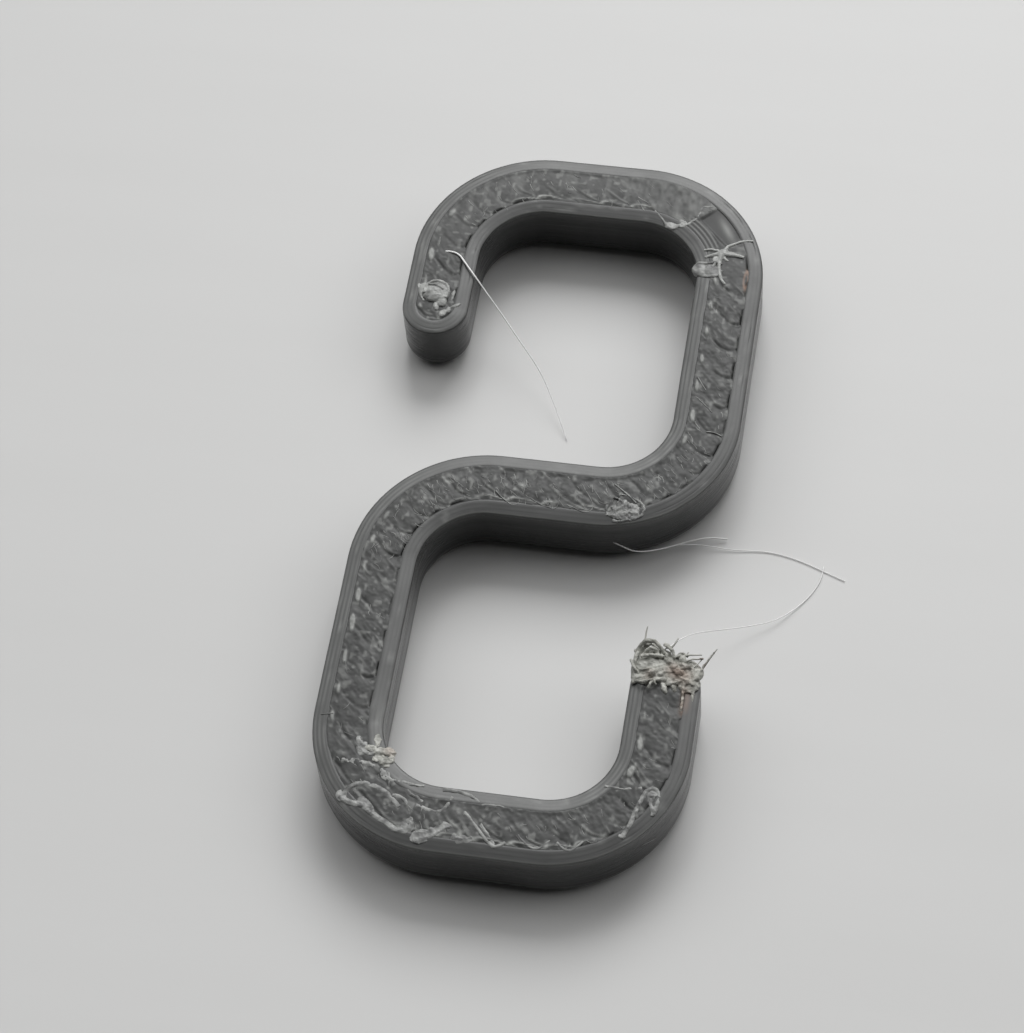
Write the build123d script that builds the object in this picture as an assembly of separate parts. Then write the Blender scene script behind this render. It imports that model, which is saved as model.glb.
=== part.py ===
"""Curtain rail hook, printed in one piece.

A square plastic bar runs in one plane as a flattened letter S: an end bar, an arm and the middle
bar make one loop, and the same again, turned half a turn, makes the other. Each loop is open at
one side, between its round free tip and the middle bar. One loop hangs on the rail and the other
carries the curtain's ring.

The hook lies flat, as it was printed: the long way is Y, the thickness is Z and the underside is
at Z = 0. Its top shows two printed walls along both edges and, between them, a slightly sunken
skin of diagonal beads. Stray plastic lies on it in lumps and loops, and the lower free tip ends
in a ragged crown of loose strands. Lengths are in millimetres.
"""
from build123d import *
from math import cos, radians, sin
import os

# The bar and its path
bar_width = 6.0
bar_height = 6.0
opening_width = 20.0
opening_length = 26.6
inner_radius = 5.8
mouth_gap = 12.0
top_edge_chamfer = 0.2
bottom_edge_chamfer = 1.1

# The printed top: walls along the edges, and beads laid diagonally between them
wall_band = 1.25
skin_sink = 0.3
bead_width = 0.6
bead_gap = 0.5
bead_rise = 0.2
bead_angle = -45.0

# Stray plastic on the top, sunk into it so that it is one with the bar
strand_width = 0.45
strand_rise = 0.3
stray_sink = 0.5
film_rise = 0.25
lump_sides = 8
lump_slope = 25.0

# The ragged crown at the lower free tip: where its strands start inside the bar, and their girth
crown_inset = 1.6
crown_depth = 0.7
crown_girth = 0.8
crown_taper = 4.5

# Places and paths that follow from the sizes above
half_bar = bar_width / 2
arm_x = (opening_width + bar_width) / 2
end_y = opening_length + bar_width
path_radius = inner_radius + half_bar
tip_y = half_bar + mouth_gap + half_bar
skin_z = bar_height - skin_sink

# Corners, ends and middles of the bar that the stray plastic lies near
places = {
    "upper_tip": (-arm_x, tip_y),
    "upper_corner": (arm_x, end_y),
    "middle_bar": (0, 0),
    "left_corner": (-arm_x, -end_y),
    "lower_bar": (0, -end_y),
    "right_corner": (arm_x, -end_y),
    "lower_tip": (arm_x, -tip_y),
}

# Strands on the top: the place each lies near, and the bent line that it follows from there
strands = {
    "star_left_ray": ("upper_corner", [(-2.6, -6.3), (-1.1, -5.7), (1, -5.8)]),
    "star_right_ray": ("upper_corner", [(-1.1, -5.7), (1.1, -4)]),
    "star_high_ray": ("upper_corner", [(-1.1, -5.7), (-2.5, -5.3)]),
    "star_low_ray": ("upper_corner", [(-1.1, -5.7), (-0.8, -9)]),
    "film_edge": ("upper_corner", [(-10.5, 1.3), (-6.9, -2.7), (-4.9, -3.4)]),
    "left_loop_top": ("left_corner", [(1.3, 1.9), (2.4, 2.4), (4, 2.1), (5.4, 1.1)]),
    "left_loop_base": ("left_corner", [(1.3, 0.6), (3, 0.2), (4.8, -0.9), (6.2, -1.5), (7.2, -0.4)]),
    "bent_bead_one": ("lower_bar", [(-1.6, 0.9), (1.6, -1.6), (2.1, -1.3), (-0.2, 0)]),
    "bent_bead_two": ("lower_bar", [(2.9, -0.6), (4.5, -1.3), (5.2, -1)]),
    "right_line": ("right_corner", [(-3.5, 4.9), (-1.6, 4.8), (-0.2, 5.1)]),
    "right_loop": ("right_corner", [(0.8, 2.6), (0.9, 4.1), (0.4, 5.1), (-0.9, 3.3), (-1.6, 0.6)]),
}

# Lumps on the top: the place each lies near, how far it is from there, length, width, rise and turn
lumps = {
    "tip_knob": ("upper_tip", -0.3, 1.3, 2.5, 2.0, 0.7, 10),
    "tip_scrap": ("upper_tip", 0.9, -1, 0.9, 0.7, 0.35, 60),
    "tip_scrap_outer": ("upper_tip", 2.1, 0.1, 1.1, 0.6, 0.35, 30),
    "star_lobe": ("upper_corner", -2.6, -7.8, 2.6, 1.3, 0.45, -12),
    "arm_bead": ("upper_corner", -1.6, -9.9, 1.5, 0.8, 0.35, 80),
    "middle_knob": ("middle_bar", 7, -1.1, 3.4, 2.3, 0.45, 5),
    "corner_knob": ("left_corner", 4.1, 5.3, 1.8, 1.5, 0.7, -35),
    "corner_scrap": ("left_corner", 2, 5.2, 1.7, 0.9, 0.45, 65),
    "corner_scrap_low": ("left_corner", 4.1, 4, 1.3, 0.8, 0.4, -30),
    "bottom_scrap_one": ("lower_bar", -4.1, -1.2, 2.6, 0.9, 0.35, 38),
    "bottom_scrap_two": ("lower_bar", -1.4, -1.5, 1.9, 0.8, 0.35, 8),
    "crown_left": ("lower_tip", -1.2, 2.6, 2.8, 1.6, 0.6, 15),
    "crown_right": ("lower_tip", 1.4, 2.1, 2.6, 1.5, 0.5, -20),
}

# A thin film over the upper right corner, and the bare patch beside it with no beads
film = [(-10.5, 1.3), (-6.9, -2.7), (-4.9, -3.4), (-3.6, -1.1), (-3.6, 0.2), (-7, 1.4)]
bare_patch = [(-4.2, -2.8), (-2.2, -0.6), (1, -4), (-2, -5.4)]

# Strands of the crown: turn from the arm's own direction, rise above level, length
crown_strands = [
    (-56, 8, 1.5),
    (-44, 22, 1.1),
    (-33, 4, 1.9),
    (-20, 26, 1.2),
    (-6, 10, 1.6),
    (8, 24, 1.0),
    (20, 5, 2.0),
    (34, 20, 1.3),
    (48, 6, 1.9),
    (60, 16, 1.2),
]


def spine():
    """Centre line of the bar, from the upper free tip to the lower one."""
    corners = [(-arm_x, tip_y), (-arm_x, end_y), (arm_x, end_y), (arm_x, 0)]
    turned = [(-x, -y) for x, y in reversed(corners)]
    return FilletPolyline(*corners, *turned, radius=path_radius)


def band(half_width):
    """Flat S-shaped face that reaches half_width to both sides of the centre line."""
    return make_face(offset(spine(), amount=half_width, kind=Kind.ARC))


def bar():
    """The plain bar: bevelled below, with a nearly sharp edge on top."""
    solid = extrude(band(half_bar), amount=bar_height)
    rims = solid.edges().group_by(Axis.Z)
    solid = chamfer(rims[-1], top_edge_chamfer)
    return chamfer(solid.edges().group_by(Axis.Z)[0], bottom_edge_chamfer)


def near(place, points):
    """The points, moved from the origin to a named place of the bar."""
    place_x, place_y = places[place]
    return [(place_x + x, place_y + y) for x, y in points]


def patch(points):
    """Flat face inside a closed line of points."""
    return make_face(Polyline(*points, close=True))


def skin_beads():
    """Diagonal beads on the sunken skin, as far as its edges."""
    skin = band(half_bar - wall_band) - patch(near("upper_corner", bare_patch))
    pitch = bead_width + bead_gap
    reach = arm_x * abs(sin(radians(bead_angle))) + end_y * cos(radians(bead_angle)) + bar_width
    count = int(reach / pitch)
    strips = Sketch() + [
        Pos(0, number * pitch) * Rectangle(2 * reach, bead_width) for number in range(-count, count + 1)
    ]
    return extrude(Rot(0, 0, bead_angle) * strips & skin, amount=bead_rise)


def top_skin(solid):
    """Sink the middle of the top and lay the beads in it."""
    recess = extrude(band(half_bar - wall_band), amount=skin_sink)
    return solid - Pos(0, 0, skin_z) * recess + Pos(0, 0, skin_z) * skin_beads()


def straight_run(start, end):
    """Flat strip from one bend of a strand to the next, past both by half its width."""
    line = Line(start, end)
    strip = Rectangle(line.length + strand_width, strand_width)
    return Plane(origin=line @ 0.5, x_dir=line % 0, z_dir=(0, 0, 1)) * strip


def strand(place, points):
    """Thin bead of stray plastic along a bent line on the top."""
    bends = near(place, points)
    trail = Sketch() + [straight_run(start, end) for start, end in zip(bends, bends[1:])]
    return Pos(0, 0, bar_height - stray_sink) * extrude(trail, amount=stray_sink + strand_rise)


def lump(place, x, y, length, width, rise, turn):
    """Many-sided lump on the top, narrower at its crown than at its foot."""
    angles = [radians(360 / lump_sides * side) for side in range(lump_sides)]
    foot = patch([(length / 2 * cos(angle), width / 2 * sin(angle)) for angle in angles])
    root = Pos(0, 0, -stray_sink) * extrude(foot, amount=stray_sink)
    crown = extrude(foot, amount=rise, taper=lump_slope)
    centre_x, centre_y = near(place, [(x, y)])[0]
    return Pos(centre_x, centre_y, bar_height) * Rot(0, 0, turn) * (root + crown)


def crown_strand(turn, rise, length):
    """Tapering strand that leaves the lower free tip near its top."""
    level = cos(radians(rise))
    along = (-sin(radians(turn)) * level, cos(radians(turn)) * level, sin(radians(rise)))
    start = (arm_x, half_bar - tip_y - crown_inset, bar_height - crown_depth)
    spike = extrude(Rectangle(crown_girth, crown_girth), amount=crown_inset + length, taper=crown_taper)
    return Plane(origin=start, z_dir=along) * spike


def strays():
    """Everything loose that lies on the top or stands out of the lower free tip."""
    film_sheet = extrude(patch(near("upper_corner", film)), amount=stray_sink + film_rise)
    return [
        *[strand(*course) for course in strands.values()],
        *[lump(*sizes) for sizes in lumps.values()],
        *[crown_strand(*sizes) for sizes in crown_strands],
        Pos(0, 0, bar_height - stray_sink) * film_sheet,
    ]


hook = top_skin(bar()) + strays()

os.makedirs("parts", exist_ok=True)
export_step(hook, "parts/hook.step")
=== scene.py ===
"""Curtain rail hook: a printed S of grey plastic, with its beads, stray strands and hairs.

Lengths in this file are millimetres, in the part's own frame: the long way is Y, the thickness
is Z and the underside is at Z = 0. They become metres when a mesh is finished.
"""

import logging
import math
from dataclasses import dataclass
from enum import Enum
from typing import Sequence

import bmesh
import bpy
import numpy as np
from mathutils import Matrix, Vector, noise

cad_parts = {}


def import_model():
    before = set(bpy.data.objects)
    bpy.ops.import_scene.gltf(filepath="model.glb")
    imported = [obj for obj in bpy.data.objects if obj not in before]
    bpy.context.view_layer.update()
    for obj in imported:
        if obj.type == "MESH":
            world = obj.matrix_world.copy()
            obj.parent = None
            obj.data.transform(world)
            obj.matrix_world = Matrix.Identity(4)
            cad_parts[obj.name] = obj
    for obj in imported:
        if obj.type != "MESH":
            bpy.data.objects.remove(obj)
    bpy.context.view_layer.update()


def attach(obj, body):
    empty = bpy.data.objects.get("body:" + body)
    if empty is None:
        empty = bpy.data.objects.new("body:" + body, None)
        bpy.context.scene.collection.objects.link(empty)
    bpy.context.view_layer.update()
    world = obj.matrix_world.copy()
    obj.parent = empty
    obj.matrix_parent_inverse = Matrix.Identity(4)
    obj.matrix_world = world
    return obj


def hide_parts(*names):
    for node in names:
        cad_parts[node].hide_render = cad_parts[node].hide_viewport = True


LOG = logging.getLogger("curtain_hook")
MM = 0.001
BODY = "root"
NODE = "hook"

Point = tuple[float, float, float]
Array = np.ndarray
Tint = tuple[float, float, float, float]


class Turn(Enum):
    """Which way the bar's centre line goes on a stretch of it."""

    AHEAD = 0
    LEFT = 1
    RIGHT = -1


class Mark(Enum):
    """Names of the point attributes that the plastic's material reads."""

    # Whitened plastic, and painted highlights
    PALE = "pale"
    # Darker random tone, and painted shade in hollows, gaps and at the foot of the sides
    TONE_AND_SHADE = "hollow"
    STAIN = "stain"


def clear_selection() -> None:
    """Leaves object mode with nothing selected."""
    if bpy.context.object is not None and bpy.context.object.mode != "OBJECT":
        bpy.ops.object.mode_set(mode="OBJECT")
    bpy.ops.object.select_all(action="DESELECT")


def choose(piece: bpy.types.Object) -> None:
    """Makes a piece the only one selected, and the active one."""
    clear_selection()
    piece.select_set(True)
    bpy.context.view_layer.objects.active = piece


def named(name: str) -> bpy.types.Object:
    """Names the object that an operator has just made, and its data.

    Args:
        name: the piece's name.

    Returns:
        The object.
    """
    piece = bpy.context.object
    piece.name = name
    piece.data.name = name
    return piece


def smoothed(low: float, high: float, value: Array) -> Array:
    """Smooth rise from 0 at low to 1 at high."""
    share = np.clip((value - low) / (high - low), 0.0, 1.0)
    return share * share * (3.0 - 2.0 * share)


def hump(value: Array, middle: float, reach: float) -> Array:
    """Bell-shaped bump of height 1 round a middle value."""
    return np.exp(-(((value - middle) / reach) ** 2))


class PlaneNoise:
    """Smooth seeded noise over a plane, from -1 to 1."""

    def __init__(self, seed: int, cells: int = 257) -> None:
        """Fills the table of values.

        Args:
            seed: what the values are drawn from.
            cells: how many values the table has along a side.
        """
        self.cells = cells
        self.table = np.random.default_rng(seed).uniform(-1.0, 1.0, (cells, cells))

    def at(self, x: Array, y: Array) -> Array:
        """Values at points whose unit is one cell of the table."""
        column, row = np.floor(x).astype(int), np.floor(y).astype(int)
        across, up = x - column, y - row
        across, up = across * across * (3 - 2 * across), up * up * (3 - 2 * up)
        corner = [
            self.table[(row + down) % self.cells, (column + right) % self.cells]
            for down in (0, 1)
            for right in (0, 1)
        ]
        low = corner[0] * (1 - across) + corner[1] * across
        high = corner[2] * (1 - across) + corner[3] * across
        return low * (1 - up) + high * up


def clouds(x: Array, y: Array) -> Array:
    """Cloudy light and dark of stray plastic, from -1 to 1."""
    return PlaneNoise(41).at(x * 2.1 + 70, y * 2.1 + 70)


@dataclass(frozen=True)
class Stretch:
    """One stretch of the bar's centre line, straight or round a corner."""

    start: tuple[float, float]
    heading: float
    length: float
    turn: Turn
    radius: float

    def centre(self) -> tuple[float, float]:
        """Centre of the corner's arc."""
        reach = self.turn.value * self.radius
        return (
            self.start[0] - reach * math.sin(self.heading),
            self.start[1] + reach * math.cos(self.heading),
        )

    def place(self, along: Array, off: Array) -> tuple[Array, Array, Array]:
        """Points beside the centre line.

        Args:
            along: how far from the stretch's start, along the line.
            off: how far to the left of the line.

        Returns:
            The x and y of the points, and the line's heading there.
        """
        if self.turn is Turn.AHEAD:
            heading = np.full_like(along, self.heading)
            x = self.start[0] + along * math.cos(self.heading)
            y = self.start[1] + along * math.sin(self.heading)
            return x - off * np.sin(heading), y + off * np.cos(heading), heading
        heading = self.heading + self.turn.value * along / self.radius
        x, y = self.centre()
        reach = self.turn.value * self.radius - off
        return x + reach * np.sin(heading), y - reach * np.cos(heading), heading

    def locate(self, x: Array, y: Array) -> tuple[Array, Array, Array, Array]:
        """Finds points beside the stretch.

        Args:
            x: how far right they are.
            y: how far up the long way they are.

        Returns:
            How far along and how far to the left they are, and the way out to them from the line.
        """
        if self.turn is Turn.AHEAD:
            east, north = x - self.start[0], y - self.start[1]
            cos, sin = math.cos(self.heading), math.sin(self.heading)
            along, off = east * cos + north * sin, north * cos - east * sin
            sign = np.where(off < 0, -1.0, 1.0)
            return along, off, -sin * sign, cos * sign
        middle_x, middle_y = self.centre()
        east, north = x - middle_x, y - middle_y
        far = np.hypot(east, north)
        first = self.heading - self.turn.value * math.pi / 2
        swing = (np.arctan2(north, east) - first) * self.turn.value
        swing = (swing + math.pi) % (2 * math.pi) - math.pi
        off = self.turn.value * (self.radius - far)
        sign = np.where(far < self.radius, -1.0, 1.0)
        return swing * self.radius, off, sign * east / far, sign * north / far


@dataclass(frozen=True)
class BarPlan:
    """The hook's plan and section, as the part's source gives them."""

    bar_width: float = 6.0
    bar_height: float = 6.0
    arm_x: float = 13.0
    end_y: float = 32.6
    corner_radius: float = 8.8
    tip_y: float = 18.0
    foot_radius: float = 1.5

    @property
    def half(self) -> float:
        """Half the bar's width."""
        return self.bar_width / 2

    @property
    def tips(self) -> tuple[tuple[float, float], tuple[float, float]]:
        """Centres of the upper and the lower free tip."""
        return (-self.arm_x, self.tip_y), (self.arm_x, -self.tip_y)

    def stretches(self) -> list[Stretch]:
        """The centre line from the upper free tip to the lower one."""
        arm = self.end_y - 2 * self.corner_radius
        tail = self.end_y - self.corner_radius - self.tip_y
        bar = 2 * (self.arm_x - self.corner_radius)
        quarter = self.corner_radius * math.pi / 2
        turns = (Turn.RIGHT,) * 3 + (Turn.LEFT,) * 3
        steps = []
        for ahead, turn in zip((tail, bar, arm, bar, arm, bar), turns):
            steps += [(Turn.AHEAD, ahead), (turn, quarter)]
        steps.append((Turn.AHEAD, tail))
        line = []
        start, heading = (-self.arm_x, self.tip_y), math.pi / 2
        for turn, length in steps:
            stretch = Stretch(start, heading, length, turn, self.corner_radius)
            line.append(stretch)
            x, y, after = stretch.place(np.array([length]), np.zeros(1))
            start, heading = (float(x[0]), float(y[0])), float(after[0])
        return line


PLAN = BarPlan()


def beside(x: Array, y: Array) -> tuple[Array, Array, Array]:
    """Finds where points of the plan lie beside the bar's centre line.

    Args:
        x: how far right they are.
        y: how far up the long way they are.

    Returns:
        How far they are from the line, and the way out to them from it.
    """
    off = np.full(len(x), np.inf)
    out_x, out_y = np.zeros(len(x)), np.ones(len(x))
    for stretch in PLAN.stretches():
        along, aside, way_x, way_y = stretch.locate(x, y)
        better = (along > -0.1) & (along < stretch.length + 0.1) & (np.abs(aside) < off)
        off = np.where(better, np.abs(aside), off)
        out_x, out_y = np.where(better, way_x, out_x), np.where(better, way_y, out_y)
    for tip_x, tip_y in PLAN.tips:
        off = np.minimum(off, np.hypot(x - tip_x, y - tip_y))
    return off, out_x, out_y


@dataclass(frozen=True)
class PlasticFinish:
    """Matte printed plastic: its colour, its whitened places and painted highlights, its stained
    places and its gloss.
    """

    name: str
    base: tuple[float, float, float]
    pale: tuple[float, float, float] = (0.47, 0.48, 0.46)
    stain: tuple[float, float, float] = (0.26, 0.17, 0.125)
    roughness: float = 0.42
    side_roughness: float = 0.42
    specular: float = 0.5
    cloud: float = 0.18
    bump: float = 0.35


class Nodes:
    """A material's node tree, with short ways to add and join its nodes."""

    def __init__(self, tree: bpy.types.NodeTree) -> None:
        """Takes over a tree and empties it."""
        self.tree = tree
        tree.nodes.clear()

    def add(self, kind: str, **settings: object) -> bpy.types.Node:
        """Adds a node.

        Args:
            kind: the node's type, without its first word.
            settings: properties of the node.

        Returns:
            The node.
        """
        node = self.tree.nodes.new("ShaderNode" + kind)
        for key, value in settings.items():
            setattr(node, key, value)
        return node

    def join(self, start: bpy.types.NodeSocket, end: bpy.types.NodeSocket) -> None:
        """Links one socket to another."""
        self.tree.links.new(start, end)

    def reckon(self, operation: str, first: object, second: object) -> bpy.types.NodeSocket:
        """Math node of two inputs, each a socket or a number.

        Args:
            operation: what the node does.
            first: its first input.
            second: its second input.

        Returns:
            The node's output socket.
        """
        node = self.add("Math", operation=operation)
        for socket, value in zip(node.inputs, (first, second)):
            if isinstance(value, bpy.types.NodeSocket):
                self.join(value, socket)
            else:
                socket.default_value = value
        return node.outputs[0]

    def weigh(
        self, first: bpy.types.NodeSocket, share: float, second: bpy.types.NodeSocket
    ) -> bpy.types.NodeSocket:
        """Mix of two values, with the first one's share of it."""
        parts = self.reckon("MULTIPLY", first, share), self.reckon("MULTIPLY", second, 1.0 - share)
        return self.reckon("ADD", *parts)

    def grain(self, scale: float, detail: float, place: bpy.types.NodeSocket) -> bpy.types.NodeSocket:
        """Noise texture at a scale, read at a place."""
        node = self.add("TexNoise")
        node.inputs["Scale"].default_value = scale
        node.inputs["Detail"].default_value = detail
        self.join(place, node.inputs["Vector"])
        return node.outputs["Fac"]

    def stretch(self, scale: Point, place: bpy.types.NodeSocket) -> bpy.types.NodeSocket:
        """A place scaled along each axis."""
        node = self.add("Mapping")
        node.inputs["Scale"].default_value = scale
        self.join(place, node.inputs["Vector"])
        return node.outputs["Vector"]

    def rise(self, value: bpy.types.NodeSocket, low: float, high: float) -> bpy.types.NodeSocket:
        """Smooth rise of a value from 0 at low to 1 at high."""
        node = self.add("MapRange", interpolation_type="SMOOTHSTEP")
        node.inputs["From Min"].default_value = low
        node.inputs["From Max"].default_value = high
        self.join(value, node.inputs["Value"])
        return node.outputs["Result"]

    def blend(self, share: object, first: object, second: object) -> bpy.types.NodeSocket:
        """Mix of two colours, each a socket or a colour, by a socket or a number."""
        node = self.add("Mix", data_type="RGBA")
        sockets = (node.inputs[0], node.inputs[6], node.inputs[7])
        for socket, value in zip(sockets, (share, first, second)):
            if isinstance(value, bpy.types.NodeSocket):
                self.join(value, socket)
            elif isinstance(value, tuple):
                socket.default_value = (*value, 1.0)
            else:
                socket.default_value = value
        return node.outputs[2]


class GrainGroup:
    """Shared effect: the cloudy tone and fine streaks of drawn plastic."""

    NAME = "drawn_plastic_grain"

    def build(self) -> bpy.types.NodeTree:
        """Builds the group once, with its inputs and outputs.

        Returns:
            The node group.
        """
        tree = bpy.data.node_groups.get(self.NAME)
        if tree is not None:
            return tree
        tree = bpy.data.node_groups.new(self.NAME, "ShaderNodeTree")
        nodes = Nodes(tree)
        for name, kind in (("Place", "NodeSocketVector"), ("Cloud", "NodeSocketFloat")):
            tree.interface.new_socket(name, in_out="INPUT", socket_type=kind)
        for name in ("Tone", "Height"):
            tree.interface.new_socket(name, in_out="OUTPUT", socket_type="NodeSocketFloat")
        start = tree.nodes.new("NodeGroupInput")
        end = tree.nodes.new("NodeGroupOutput")
        place = start.outputs["Place"]
        cloud = nodes.grain(420.0, 3.0, place)
        flat = nodes.grain(900.0, 2.0, nodes.stretch((0.5, 0.5, 7.0), place))
        fine = nodes.grain(5200.0, 2.0, place)
        mixed = nodes.weigh(cloud, 0.55, flat)
        away = nodes.reckon("SUBTRACT", mixed, 0.5)
        tone = nodes.reckon("ADD", 1.0, nodes.reckon("MULTIPLY", away, start.outputs["Cloud"]))
        nodes.join(tone, end.inputs["Tone"])
        nodes.join(nodes.weigh(flat, 0.6, fine), end.inputs["Height"])
        return tree


class Finishes:
    """The materials of the hook and of the board under it."""

    gloss_spread = 0.25
    side_end = 5.3
    top_start = 5.9
    bump_height = 0.03
    bar = PlasticFinish(
        "grey_plastic", (0.057, 0.0585, 0.057), roughness=0.4, side_roughness=0.2, cloud=0.32
    )
    skin = PlasticFinish(
        "grey_plastic_skin",
        (0.047, 0.0483, 0.047),
        roughness=0.46,
        side_roughness=0.46,
        specular=0.37,
        cloud=0.7,
    )
    stray = PlasticFinish(
        "whitened_plastic", (0.2, 0.203, 0.198), roughness=0.38, side_roughness=0.38, cloud=0.6
    )
    fray = PlasticFinish(
        "torn_plastic",
        (0.31, 0.312, 0.28),
        (0.62, 0.62, 0.58),
        roughness=0.45,
        side_roughness=0.45,
        cloud=0.7,
    )

    def start(
        self, name: str
    ) -> tuple[bpy.types.Material, Nodes, bpy.types.Node, bpy.types.NodeSocket]:
        """Starts a material with its shader, joined to its output.

        Args:
            name: the material's name.

        Returns:
            The material, its nodes, its shader, and the place that its patterns read.
        """
        material = bpy.data.materials.new(name)
        material.use_nodes = True
        nodes = Nodes(material.node_tree)
        shader = nodes.add("BsdfPrincipled")
        nodes.join(shader.outputs["BSDF"], nodes.add("OutputMaterial").inputs["Surface"])
        return material, nodes, shader, nodes.add("TexCoord").outputs["Object"]

    def plastic(self, finish: PlasticFinish) -> bpy.types.Material:
        """Material of printed plastic, built once for each finish.

        Args:
            finish: its colours and gloss.

        Returns:
            The material.
        """
        known = bpy.data.materials.get(finish.name)
        if known is not None:
            return known
        material, nodes, shader, place = self.start(finish.name)
        grain = nodes.add("Group")
        grain.node_tree = GrainGroup().build()
        grain.inputs["Cloud"].default_value = finish.cloud
        nodes.join(place, grain.inputs["Place"])
        marks = {
            name: nodes.add("Attribute", attribute_name=name.value).outputs["Fac"] for name in Mark
        }
        # The pale mark lightens the colour, for whitened plastic and painted highlights; the darker
        # mark darkens it, for random tone and painted shade
        lit = nodes.reckon("SUBTRACT", 1.0, marks[Mark.TONE_AND_SHADE])
        tone = nodes.reckon("MULTIPLY", grain.outputs["Tone"], lit)
        grey = nodes.add("VectorMath", operation="SCALE")
        grey.inputs[0].default_value = finish.base
        nodes.join(tone, grey.inputs["Scale"])
        whitened = nodes.blend(marks[Mark.PALE], grey.outputs[0], finish.pale)
        colour = nodes.blend(marks[Mark.STAIN], whitened, finish.stain)
        nodes.join(colour, shader.inputs["Base Color"])
        uneven = nodes.reckon("SUBTRACT", grain.outputs["Height"], 0.5)
        spread = nodes.reckon("MULTIPLY", uneven, self.gloss_spread)
        height = nodes.add("SeparateXYZ")
        nodes.join(place, height.inputs[0])
        up = nodes.rise(height.outputs["Z"], self.side_end * MM, self.top_start * MM)
        gain = nodes.reckon("MULTIPLY", up, finish.roughness - finish.side_roughness)
        rough = nodes.reckon("ADD", gain, finish.side_roughness)
        nodes.join(nodes.reckon("ADD", spread, rough), shader.inputs["Roughness"])
        shader.inputs["Specular IOR Level"].default_value = finish.specular
        bump = nodes.add("Bump")
        bump.inputs["Strength"].default_value = finish.bump
        bump.inputs["Distance"].default_value = self.bump_height * MM
        nodes.join(grain.outputs["Height"], bump.inputs["Height"])
        nodes.join(bump.outputs["Normal"], shader.inputs["Normal"])
        return material

    def hair(self) -> bpy.types.Material:
        """Material of the hair-thin strings: pale, and glossy in places.

        Returns:
            The material.
        """
        material, nodes, shader, place = self.start("hair_string")
        tone = nodes.grain(260.0, 2.0, place)
        colour = nodes.blend(tone, (0.86, 0.86, 0.85), (0.96, 0.96, 0.95))
        nodes.join(colour, shader.inputs["Base Color"])
        nodes.join(nodes.reckon("MULTIPLY", tone, 0.5), shader.inputs["Roughness"])
        return material

    def board(self) -> bpy.types.Material:
        """Material of the pale painted board. It throws little light back up at the hook.

        Returns:
            The material.
        """
        material, nodes, shader, place = self.start("pale_board")
        path = nodes.add("LightPath")
        seen = nodes.reckon("MAXIMUM", path.outputs["Is Camera Ray"], path.outputs["Is Glossy Ray"])
        seen = nodes.reckon("MAXIMUM", seen, path.outputs["Is Transmission Ray"])
        grain = nodes.grain(60.0, 3.0, nodes.stretch((0.25, 2.2, 1.0), place))
        paint = nodes.blend(grain, (0.56, 0.56, 0.553), (0.585, 0.585, 0.58))
        nodes.join(nodes.blend(seen, (0.33, 0.33, 0.33), paint), shader.inputs["Base Color"])
        shader.inputs["Roughness"].default_value = 0.42
        shader.inputs["Specular IOR Level"].default_value = 0.5
        return material


FINISHES = Finishes()


def finished(
    piece: bpy.types.Object, material: bpy.types.Material, crease: float
) -> bpy.types.Object:
    """Turns a mesh to metres, smooths it and dresses it.

    Args:
        piece: a mesh object at the origin, in millimetres.
        material: what it is made of.
        crease: the angle in degrees above which an edge stays sharp.

    Returns:
        The piece.
    """
    choose(piece)
    piece.data.transform(Matrix.Diagonal((MM, MM, MM, 1.0)))
    bpy.ops.object.shade_smooth_by_angle(angle=math.radians(crease))
    piece.data.materials.clear()
    piece.data.materials.append(material)
    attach(piece, BODY)
    return piece


def tidied(piece: bpy.types.Object, gap: float = 0.004) -> None:
    """Merges a mesh's doubled points and turns its faces outwards."""
    choose(piece)
    bpy.ops.object.mode_set(mode="EDIT")
    bpy.ops.mesh.select_all(action="SELECT")
    bpy.ops.mesh.remove_doubles(threshold=gap)
    bpy.ops.mesh.normals_make_consistent(inside=False)
    bpy.ops.object.mode_set(mode="OBJECT")


def mark(piece: bpy.types.Object, name: Mark, values: Array) -> None:
    """Writes one of the material's marks on a mesh's points."""
    layers = piece.data.attributes
    layer = layers.get(name.value) or layers.new(name.value, "FLOAT", "POINT")
    layer.data.foreach_set("value", np.ascontiguousarray(values, dtype=np.float32))


def coordinates(piece: bpy.types.Object) -> Array:
    """The mesh's points, one row each."""
    flat = np.empty(len(piece.data.vertices) * 3)
    piece.data.vertices.foreach_get("co", flat)
    return flat.reshape(-1, 3)


def move_points(piece: bpy.types.Object, points: Array) -> None:
    """Moves a mesh's points to new places."""
    piece.data.vertices.foreach_set("co", np.ascontiguousarray(points, dtype=np.float32).ravel())
    piece.data.update()


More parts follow.
